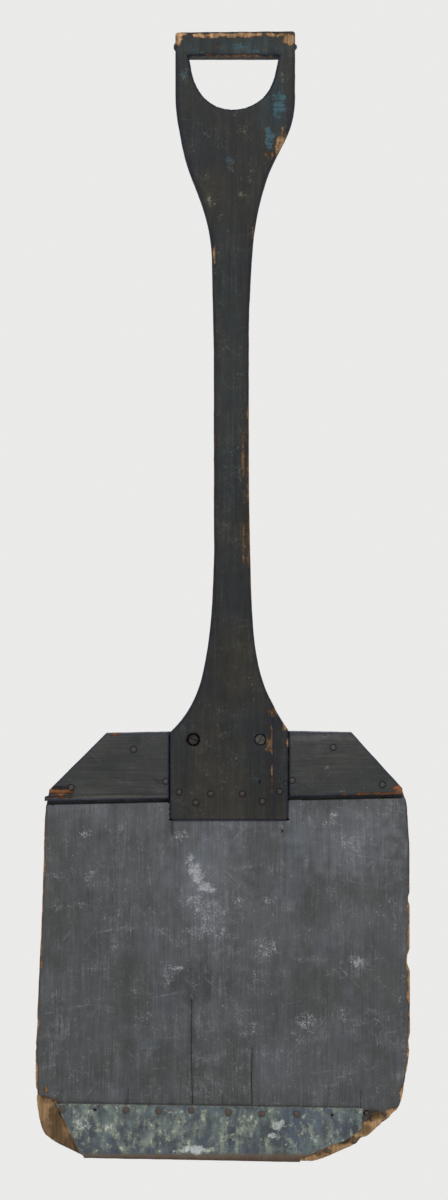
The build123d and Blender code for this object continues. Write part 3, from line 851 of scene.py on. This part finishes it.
def seat_nails(plate, names, face):
    for node in names:
        x, z = drawn(middle_of(node)[0])
        size = 0.5 if node.endswith("brad") else 1.0
        plate.seat(x, z, NAIL_SEAT * size, NAIL_DEPTH * size, face)


def dress(plate, material, carve=None):
    """Builds a plate, and lets it stand in for its CAD node."""
    look = plate.build(plate.node + "_look", material, carve)
    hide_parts(plate.node)
    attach(look, "root")


NAIL_SEAT, NAIL_DEPTH = 3.3, 0.9
LAP_TOP = 460.0
STRIP_JOINT = 50.1
FOOT_SIDES = (-52.6, 66.2)
FOOT_LOW = 340.5
REBATE_LEFT, REBATE_RIGHT = 355.4, 363.4
joint_line = [(STRIP_JOINT, 330.0), (STRIP_JOINT, 470.0)]

handle = Plate("handle", section_loops("handle", -5.0 * MM), step=1.8, spacing=2.2)
seat_nails(handle, foot_nails, FOOT_FRONT)
for node, radius, depth in (("foot_screw_left", 6.5, 7.0), ("foot_screw_right", 5.7, 4.2)):
    x, z = drawn(middle_of(node)[0])
    handle.seat(x, z, radius, depth, FOOT_FRONT)
handle.steps.append([(-60.0, LAP_TOP), (70.0, LAP_TOP)])
handle.snug.append((joint_line, 3.0))
handle.edge_loss, handle.edge_soft, handle.relief = 0.3, 0.5, 0.15
handle.cracks_and_shadow_lines = [
    ([(37.25, 380.6), (37.25, 378.8)], 0.9, 1.4),
    ([(14, 640), (12.5, 742)], 0.25, 0.2),
    ([(-12, 374), (36, 381)], 0.25, 0.12),
]
handle.attributes = {
    "worn": [
        (12, 1125.6, 75, 3.6, 1.15), (-44, 1123, 6, 9, 1.1), (67, 1121, 9, 10, 1.2),
        (-7, 1114, 9, 10, 0.72), (12, 1104.8, 46, 1.6, 0.62), (-16, 1107, 9, 2.5, 0.7),
        (57, 1016, 7, 12, 0.95), (47, 1008, 6, 7, 0.85), (61, 1028, 4, 11, 0.7),
        (70, 1067, 2.5, 28, 0.3), (-8, 908, 3, 16, 0.8), (-14, 952, 2.5, 13, 0.5),
        (31, 930, 3, 16, 0.55), (21.0, 705, 2.2, 56, 0.92), (21.6, 630, 2.0, 56, 0.88),
        (20.5, 765, 1.6, 24, 0.7), (-3.4, 704, 1.7, 32, 0.88), (-4.0, 640, 1.3, 30, 0.45),
        (26.5, 720, 3.6, 90, 0.60), (26.5, 640, 3.4, 60, 0.62), (27, 570, 3.2, 60, 0.5),
        (-8, 690, 3, 60, 0.42), (-9, 570, 3.2, 40, 0.36), (46.0, 415, 5.5, 18, 0.88),
        (49.4, 420, 2.0, 40, 0.74), (49.6, 365, 1.2, 40, 0.66), (46, 451, 5.5, 8, 0.7),
        (-50, 436, 3, 6, 0.35),
    ],
    "kept": [(12, 1131, 90, 2.3, 0.75), (-52, 1115, 3, 20, 0.4)],
    "pale": [
        (-20, 1108, 5, 2, 0.7), (19, 1117, 4, 1.5, 0.6), (-39, 1085, 4, 7, 0.5),
        (60, 1084, 1.6, 6, 0.9), (-13, 960, 2, 10, 0.6), (-16, 985, 2, 8, 0.45),
        (27, 985, 2.5, 10, 0.4), (29, 870, 2, 24, 0.4), (26, 790, 2, 24, 0.35),
        (-6, 840, 1.5, 20, 0.35), (12, 1043, 3, 9, 0.45), (9, 996, 6, 8, 0.42), (20, 967, 5, 5, 0.4),
        (20, 1034, 9, 12, 0.22), (-4, 431, 14, 9, 0.16), (-16, 388, 8, 8, 0.2),
    ],
    "hue": [
        (20, 1112, 22, 7, 0.55), (-39, 1087, 8, 11, 0.62), (56, 1056, 8, 17, 0.78),
        (59, 1078, 3.5, 16, 0.5), (58, 1070, 6, 8, 0.5), (47, 1021, 6, 13, 0.95), (9, 996, 8, 12, 0.55),
        (36, 1080, 4, 8, 0.3), (30, 915, 3.5, 34, 0.42), (-8, 770, 3, 50, 0.3),
        (32.7, 381, 13, 5, 0.45), (24, 640, 4, 110, 0.28),
    ],
    # the grip bar's patch is partly a painted highlight
    "light": [(12, 1112, 70, 18, 0.6), (50, 1060, 20, 40, 0.5), (8, 760, 18, 160, 0.35)],
    "dark_stain_and_shade": [
        # the patch on the left screw is painted shade in its counterbore
        (5, 1025, 30, 22, 0.2), (-28.8, 421.5, 8, 8, 0.5), (48.5, 420, 3.5, 40, 0.45),
        (49, 368, 5, 36, 1.15), (-7, 1114, 10, 10, 0.6), (26, 640, 6, 200, 0.35),
        (21, 665, 3.4, 110, 0.6), (-3.5, 690, 2.8, 60, 0.4), (9, 690, 26, 160, 0.26),
        (9, 560, 32, 80, 0.30), (46, 1008, 7, 8, 0.3),
    ],
}
dress(handle, handle_paint)

strip_loops = section_loops("foot_side_strip", -5.0 * MM)
strip = Plate("foot_side_strip", strip_loops, step=1.6, spacing=2.0, rows=(0.4, 1.0, 1.9, 3.0))
seat_nails(strip, strip_nails, FOOT_FRONT)
strip.snug.append((joint_line, 3.0))
strip.edge_loss, strip.edge_soft, strip.relief = 0.35, 0.6, 0.15
strip.attributes = {
    "worn": [
        (50.6, 395, 1.4, 90, 0.5), (52.5, 449, 4, 7, 0.8), (62, 434, 5, 6, 0.9), (66, 418, 2.5, 7, 0.8),
        (66, 385, 1.5, 30, 0.3),
    ],
    "dark_stain_and_shade": [(51, 400, 3, 90, 0.9), (60, 434, 6, 8, 0.3)],
    "pale": [(58, 370, 3, 6, 0.3)],
}
dress(strip, handle_paint)

# ------------------------------------------------------------------ wings
SPLIT = (-172.6, -150.0, 366.6, 373.2)


def split_tip(flat):
    """The splinter that has broken out of the left wing's tip, as a depth below its face."""
    _, right, low, high = SPLIT
    x, z = flat[:, 0], flat[:, 1]
    top = high + 0.6 * grain_many(x, z, 7, 40, 4)
    floor = low + 0.5 * grain_many(x, z, 9, 40, 5)
    within = smooth(floor - 0.4, floor + 0.6, z) * (1 - smooth(top - 0.3, top + 0.3, z))
    within *= 1 - smooth(right - 0.8, right + 0.4, x)
    return within * (2.6 + 0.5 * grain_many(x, z, 30, 1.2, 6))


def wing_plate(node, nails):
    wing = Plate(node, section_loops(node, (BOARD_FRONT + TONGUE_FRONT) / 2), step=1.6, spacing=2.3)
    seat_nails(wing, nails, BOARD_FRONT)
    wing.edge_loss, wing.edge_soft, wing.relief = 0.4, 0.8, 0.25
    return wing


left_wing = wing_plate("left_wing", left_wing_nails)
left_wing.snug.append(([(FOOT_SIDES[0], 330), (FOOT_SIDES[0], 440)], 4.0))
left_wing.steps = [
    [(SPLIT[0], SPLIT[3]), (SPLIT[1], SPLIT[3])],
    [(SPLIT[0], SPLIT[2]), (SPLIT[1], SPLIT[2])],
    [(SPLIT[1], SPLIT[2]), (SPLIT[1], SPLIT[3])],
]
left_wing.cracks_and_shadow_lines = [
    ([(-178, 363.9), (-149, 365.4)], 0.4, 0.5),
    ([(-149, 365.4), (-110, 366.4), (-56, 366.8)], 0.3, 0.25),
    ([(-172, 374.4), (-147, 373.8)], 0.45, 0.8),
    ([(-147, 373.8), (-110, 374.6)], 0.25, 0.12),
    ([(-68, 382), (-62, 378)], 0.3, 0.4),
]
left_wing.attributes = {
    "worn": [
        (-163, 369.5, 17, 4.6, 1.3), (-160, 363.6, 26, 1.6, 0.8), (-106.5, 426.2, 6, 2.4, 0.95),
        (-176, 361, 4, 4, 0.3),
    ],
    "kept": [(-143, 400, 40, 22, 0.1)],
    "light": [(-120, 363, 80, 3, 0.5)],
    "pale": [(-80, 372, 20, 5, 0.15)],
}
dress(left_wing, wing_paint, carve=split_tip)

right_wing = wing_plate("right_wing", right_wing_nails)
right_wing.snug.append(([(FOOT_SIDES[1], 330), (FOOT_SIDES[1], 440)], 4.0))
right_wing.cracks_and_shadow_lines = [([(74, 378), (86, 373)], 0.25, 0.2)]
right_wing.attributes = {
    "worn": [
        (150, 366.4, 38, 2.6, 0.85), (176, 371, 8, 6.0, 1.1), (170, 367, 16, 3.0, 1.0),
        (75, 426.5, 8, 2.0, 0.3), (104, 426.0, 12, 2.0, 0.42), (137, 415, 5, 4, 0.25),
        (145, 407, 2.0, 2.0, 0.4),
    ],
    "pale": [
        (104.6, 393, 3.0, 3.0, 0.75), (110, 386, 5, 3, 0.25), (119.7, 370, 3, 2, 0.5),
        (157.4, 388, 2, 2, 0.5), (100, 425, 16, 3, 0.35), (70, 420, 4, 6, 0.3),
    ],
    # a painted highlight along the right wing's top edge
    "light": [(100, 424, 40, 4, 0.6)],
}
dress(right_wing, wing_paint)

# ------------------------------------------------------------------ blade board
METAL_TOP = ((-167.5, 57.9), (141.3, 53.3))
face_loop, head_loop = (section_loops("blade_board", y * MM)[0] for y in (0.4, 5.0))
blade_loop = joined(face_loop, head_loop, 250.0)
blade = Plate("blade_board", [blade_loop], step=1.8, spacing=3.0)
blade.steps = [
    [(-180.0, REBATE_LEFT), (186.0, REBATE_RIGHT)],
    [(FOOT_SIDES[0], 362), (FOOT_SIDES[0], FOOT_LOW), (FOOT_SIDES[1], FOOT_LOW), (FOOT_SIDES[1], 362)],
]
blade.cracks_and_shadow_lines = [
    ([(-30.4, 161), (-31, 110), (-29.8, 57)], 0.36, 0.75),
    ([(29.8, 112), (29.2, 80), (30.2, 55)], 0.34, 0.7),
    ([(106, 78), (105.5, 54)], 0.25, 0.25),
    ([(139, 71), (138, 52)], 0.35, 0.45),
    ([(-94, 71), (-94.5, 55)], 0.25, 0.4),
    ([(0.4, 66), (0.4, 56)], 0.3, 0.4),
    ([(62.2, 339), (62.6, 300), (62.0, 266)], 0.22, 0.2),
    ([(-50.7, 340), (-50.2, 326)], 0.7, 0.5),
    # the next two lines are painted shadow along the metal's top edge and its left end
    ([(-167, 58.6), (-100, 57.4), (60, 55.0), (140, 53.9)], 0.4, 0.3),
    ([(-167.5, 57), (-145.5, 10), (-137, 1)], 0.6, 0.4),
    ([(59.6, 330.5), (60.4, 329.5)], 1.0, 1.0),
]
blade.edge_loss, blade.edge_soft, blade.relief = 0.5, 0.8, 0.3
blade.nicks = [
    (139, 22, 7, 2.2), (188.5, 201, 12, 2.8), (-186, 68, 6, 1.2),
    (187, 262, 7, 1.4), (186, 118, 9, 1.2), (172, 46, 6, 1.0),
]
blade.attributes = {
    "worn": [
        (-178.5, 320, 2.4, 60, 0.75), (-181.5, 240, 2.6, 60, 0.85), (-185, 160, 2.6, 60, 0.80),
        (-188, 80, 5, 50, 0.95), (187.5, 255, 4.5, 26, 0.8), (188, 195, 5.0, 60, 1.0),
        (189, 125, 5.0, 50, 0.95), (187, 88, 5, 30, 1.1), (181, 64, 5, 14, 1.2), (172, 48, 12, 8, 1.2),
        (155, 44, 11, 9, 1.2), (150, 32, 20, 12, 1.4), (134, 26, 12, 9, 1.4), (118, 14, 26, 10, 1.3),
        (100, 2, 30, 9, 1.2), (185, 345, 2.4, 20, 0.5), (-180, 46, 15, 34, 1.3),
        (-168, 26, 21, 30, 1.4), (-168, 52, 10, 9, 1.5), (-153, 28, 9, 10, 1.3),
        (-150, 10, 21, 17, 1.4), (-144, 304.5, 1.6, 1.6, 0.9), (-51, 160.5, 1.8, 1.8, 0.8),
        (-168, 128, 1.6, 1.8, 0.9), (136, 116, 1.0, 6, 0.8), (-128, 94, 9, 2.0, 0.5),
    ],
    "dark_stain_and_shade": [
        (-165, 38, 11, 30, 1.1), (-155, 14, 12, 16, 1.0), (-176, 30, 9, 22, 0.55),
        (-176, 62, 8, 7, 0.6), (124, 21, 26, 6, 0.95), (152, 46, 13, 8, 1.0), (172, 42, 8, 3, 0.3),
        (-28, 177, 30, 24, 0.55), (-95, 185, 30, 20, 0.12), (141, 46, 7, 8, 0.9), (-168, 61, 8, 3, 0.6),
        # the two patches just under the foot's corners are painted shade
        (142, 31, 10, 6, 0.7), (100, 3, 22, 4, 0.45), (-51, 334, 4, 9, 0.35), (62, 334, 8, 9, 0.2),
    ],
    "light": [
        (-60, 345, 120, 18, 0.35), (125, 320, 66, 44, 0.62), (-20, 280, 60, 60, 0.42),
        (-30, 295, 16, 26, 0.6), (-120, 290, 60, 50, 0.18), (40, 225, 50, 50, 0.30),
        (-150, 355, 40, 6, 0.5), (110, 230, 40, 30, 0.2), (-72, 135, 40, 20, 0.18),
        (35, 150, 30, 40, 0.15), (110, 110, 60, 40, 0.12), (-100, 68, 80, 9, 0.15),
    ],
    "pale": [
        (-33, 303, 5, 8, 0.75), (-29, 293, 7, 8, 0.85), (-24, 284, 7, 8, 0.80), (-18, 275, 9, 6, 0.95),
        (-11, 271, 6, 3, 1.05), (-30, 262, 12, 5, 0.55), (-18, 250, 20, 14, 0.45),
        (-22, 230, 16, 8, 0.4), (-45, 193, 15, 5, 0.6), (-55, 180, 8, 9, 0.4), (14, 261, 7, 6, 0.4),
        (46, 262, 10, 6, 0.5), (0, 228, 9, 12, 0.35), (46, 213, 14, 14, 0.4), (136, 199, 10, 8, 0.7),
        (112, 345, 8, 4, 0.6), (107, 338, 10, 5, 0.5), (128, 316, 12, 14, 0.35),
        (-40, 326, 10, 6, 0.55), (-140, 330, 10, 6, 0.3), (-150, 285, 30, 8, 0.3),
        (-150, 255, 30, 6, 0.28), (85, 140, 16, 12, 0.45), (140, 140, 26, 8, 0.35),
        (-78, 150, 12, 30, 0.28), (30, 130, 16, 24, 0.3), (12, 92, 10, 14, 0.3),
        (-168, 150, 10, 20, 0.2), (36, 178, 12, 10, 0.25),
    ],
    "hue": [
        (-69, 118, 16, 12, 0.5), (133, 296, 18, 16, 0.4), (140, 196, 12, 8, 0.4),
        (128, 325, 14, 10, 0.45), (-30, 221, 10, 4, 0.35), (182, 350, 3, 10, 0.4),
        (-140, 353, 30, 4, 0.3), (160, 130, 26, 30, 0.25),
    ],
}
dress(blade, blade_paint)

# ------------------------------------------------------------------ metal edge
LIP_SLOPE = math.tan(math.radians(1.1))
LEFT_END = ((-2.0, -137.0), (10.0, -145.0), (57.9, -167.5))
RIGHT_END = ((-4.0, 78.0), (5.0, 79.0), (17.5, 108.0), (25.0, 126.0), (35.0, 140.3), (53.3, 141.3))
SHEET = 0.45
FACE_ROWS = 34
METAL_LOW = 3.5
METAL_COLUMNS = 270


def sheet_path():
    """The sheet's course from its upper edge down over the lip: depth, height and way outwards."""
    face = BOARD_FRONT / MM
    path = [(face - 0.95, METAL_LOW + t * 53.0, (-1.0, 0.0), t) for t in np.linspace(1, 0, FACE_ROWS)]
    for angle in np.linspace(0, math.pi / 2, 7)[1:]:
        y = face + 2.5 - 3.45 * math.cos(angle)
        path.append((y, METAL_LOW - 3.45 * math.sin(angle), (-math.cos(angle), -math.sin(angle)), 0.0))
    path += [(face + 2.5 + t * 7.0, 0.05, (0.0, -1.0), 0.0) for t in np.linspace(0, 1, 6)[1:]]
    path += [(face + 10.4, 0.35, (0.7, -0.7), 0.0), (face + 10.9, 1.1, (1.0, 0.0), 0.0)]
    path += [(face + 10.95 + 0.1 * z, 1.1 + z, (1.0, 0.0), 0.0) for z in np.linspace(0, 12.5, 7)[1:]]
    return path


def end_at(ends, z):
    return float(np.interp(z, [e[0] for e in ends], [e[1] for e in ends]))


def nearest(x, z, places):
    """How far the nearest of some places is."""
    return min(math.hypot(x - nx, z - nz) for nx, nz in places)


metal_nails = [drawn(middle_of(node)[0]) for node in edge_nails[:7]]
lost_nails = [(-127.5, 51.4), (110.0, 46.2)]
outer, inner, marks = [], [], []
path = sheet_path()
for row, (y, z0, way, up) in enumerate(path):
    for column in range(METAL_COLUMNS + 1):
        t = column / METAL_COLUMNS
        z = z0
        left, right = end_at(LEFT_END, z), end_at(RIGHT_END, z)
        left += 0.8 + 0.9 * grain(z, row * 0.1, 4, 4, 31)
        right -= 1.2 + 1.8 * grain(z, row * 0.1, 3, 3, 32) + 1.2 * grain(z, row * 0.1, 9, 9, 37)
        x = left + (right - left) * t
        if up > 0:
            top = METAL_TOP[0][1] + (METAL_TOP[1][1] - METAL_TOP[0][1]) * t - 0.5
            top += 0.35 * grain(x, 0, 14, 1, 33)
            z = METAL_LOW + (top - METAL_LOW) * up
        near, lost = nearest(x, z, metal_nails), nearest(x, z, lost_nails)
        dent = 0.22 + 0.2 * grain(x, z, 34, 26, 34) + 0.10 * grain(x, z, 8, 8, 35)
        dent += 0.24 * (1 - smooth(1.5, 8.0, near)) + 0.3 * (1 - smooth(1.0, 3.5, lost))
        dent = min(max(dent, 0.0), 0.5 if row < FACE_ROWS else 0.45)
        z += -(x + 22.0) * LIP_SLOPE * (1 - min(max((z - METAL_LOW) / 52.0, 0.0), 1.0))
        if row >= FACE_ROWS:
            z += 0.3 * max(grain(x, y, 17, 9, 36), 0.0)
        outer.append((row_x(x), (y - dent * way[0]) * MM, row_z(z - dent * way[1])))
        deep = dent + SHEET
        inner.append((row_x(x), (y - deep * way[0]) * MM, row_z(z - deep * way[1])))
        rim_gap = min(row * 1.5, (x - left), (right - x))
        marks.append((x, z, rim_gap, lost))
marks = np.array(marks)
count = len(outer)
wide = METAL_COLUMNS + 1
faces = []
for row in range(len(path) - 1):
    for column in range(METAL_COLUMNS):
        a = row * wide + column
        quad = (a, a + wide, a + wide + 1, a + 1)
        centre = marks[list(quad)].mean(0)
        if row >= FACE_ROWS or nearest(centre[0], centre[1], lost_nails) >= 1.25:
            faces.append(quad)
rims = open_edges(pair for quad in faces for pair in zip(quad, quad[1:] + quad[:1]))
faces = faces + [tuple(i + count for i in quad[::-1]) for quad in faces]
faces += [(b, a, a + count, b + count) for a, b in rims]
verts = np.array(outer + inner)
used = np.unique([i for face in faces for i in face])
renumber = {old: new for new, old in enumerate(used)}
faces = [tuple(renumber[i] for i in face) for face in faces]
both = np.vstack([marks, marks])[used]
corner_rust = 0.45 * (1 - smooth(0, 9, np.abs(both[:, 0] - 95))) * (both[:, 1] < 26)
values = {
    "edge": np.exp(-both[:, 2] / 0.9),
    "low": np.maximum(1 - smooth(1.0, 15.0, both[:, 1]), corner_rust),
    "hole": 1 - smooth(1.2, 2.6, both[:, 3]),
    "pale": patch(both[:, :2], [
        (-28, 11, 20, 9, 1.0), (-36, 22, 12, 6, 0.6), (56, 36, 9, 7, 0.95), (50, 25, 6, 6, 0.9),
        (92, 22, 8, 9, 0.7), (-140, 40, 12, 14, 0.7), (-120, 33, 22, 5, 0.6), (-96, 30, 14, 8, 0.5),
        (-45, 50, 14, 4, 0.6), (120, 38, 12, 8, 0.4), (10, 30, 10, 14, 0.35),
    ]),
}
sheet_look = make_mesh("metal_edge_look", verts[used], faces, sheet_material, values, sharp=50)
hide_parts("metal_edge")
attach(sheet_look, "root")

# ------------------------------------------------------------------ camera, floor and light
scene = bpy.context.scene
scene.view_settings.view_transform = "Standard"
VIEW_DISTANCE = 2.6
VIEW_HEIGHT = 561.0
FRAME_HEIGHT = 1.2
camera_data = bpy.data.cameras.new("camera")
camera_data.sensor_width = 36.0
camera_data.lens = 36.0 * VIEW_DISTANCE / FRAME_HEIGHT
camera = bpy.data.objects.new("camera", camera_data)
camera.location = (row_x(1.75), BOARD_FRONT - VIEW_DISTANCE, row_z(VIEW_HEIGHT))
camera.rotation_euler = (math.pi / 2, 0, 0)
scene.collection.objects.link(camera)
scene.camera = camera

BACKDROP = (0.83, 0.825, 0.82)
FLOOR_DROP = 0.6
FLOOR_RADIUS = 60.0


def pale_floor():
    """A wide pale floor below the hanging shovel, fading into the backdrop's colour."""
    p = Paint("pale_floor")
    tone = p.noise(1.5, 3.0, 0.5)
    colour = p.mix(tone, (0.82, 0.815, 0.81), (0.86, 0.855, 0.85))
    reach = p.add("ShaderNodeVectorMath", operation="LENGTH")
    p.put(reach.inputs[0], p.place)
    far = p.step(reach.outputs["Value"], 0.6, 1.9)
    glow = p.mix(far, (0, 0, 0), BACKDROP)
    p.put(p.shader.inputs["Emission Color"], glow)
    p.shader.inputs["Emission Strength"].default_value = 1.0
    dim = p.mix(far, colour, (0, 0, 0))
    grit = p.bump(p.noise(300.0, 3.0, 0.5), 0.1, 0.001)
    return p.finish(dim, p.step(tone, 0.3, 0.7, 0.8, 0.9), grit, specular=0.0)


floor_mesh = bpy.data.meshes.new("floor")
sides = 96
turns = [2 * math.pi * i / sides for i in range(sides)]
rim = [(FLOOR_RADIUS * math.cos(a), FLOOR_RADIUS * math.sin(a), 0) for a in turns]
floor_mesh.from_pydata(rim, [], [list(range(sides))])
floor = bpy.data.objects.new("floor", floor_mesh)
floor.location = (MIDDLE_X, 0, LIP_Z - FLOOR_DROP)
floor_mesh.materials.append(pale_floor())
scene.collection.objects.link(floor)

world = bpy.data.worlds.new("studio")
world.use_nodes = True
scene.world = world
tree = world.node_tree
tree.nodes.clear()
seen = tree.nodes.new("ShaderNodeBackground")
seen.inputs["Color"].default_value = (*BACKDROP, 1)
lit = tree.nodes.new("ShaderNodeBackground")
lit.inputs["Color"].default_value = (*BACKDROP, 1)
lit.inputs["Strength"].default_value = 0.5
path = tree.nodes.new("ShaderNodeLightPath")
either = tree.nodes.new("ShaderNodeMixShader")
output = tree.nodes.new("ShaderNodeOutputWorld")
tree.links.new(path.outputs["Is Camera Ray"], either.inputs[0])
tree.links.new(lit.outputs[0], either.inputs[1])
tree.links.new(seen.outputs[0], either.inputs[2])
tree.links.new(either.outputs[0], output.inputs[0])


def area_light(name, place, target, size, power):
    data = bpy.data.lights.new(name, "AREA")
    data.shape = "RECTANGLE"
    data.size, data.size_y = size
    data.energy = power
    light = bpy.data.objects.new(name, data)
    light.location = place
    away = Vector(place) - Vector(target)
    light.rotation_euler = away.to_track_quat("Z", "Y").to_euler()
    scene.collection.objects.link(light)


centre = (row_x(0), 0, row_z(560))
area_light("key", (row_x(-500), -2.3, row_z(2600)), centre, (2.2, 1.2), 70)
area_light("fill", (row_x(1500), -2.2, row_z(700)), centre, (1.5, 1.5), 14)
area_light("back_key", (row_x(600), 2.6, row_z(2300)), centre, (2.2, 1.4), 45)
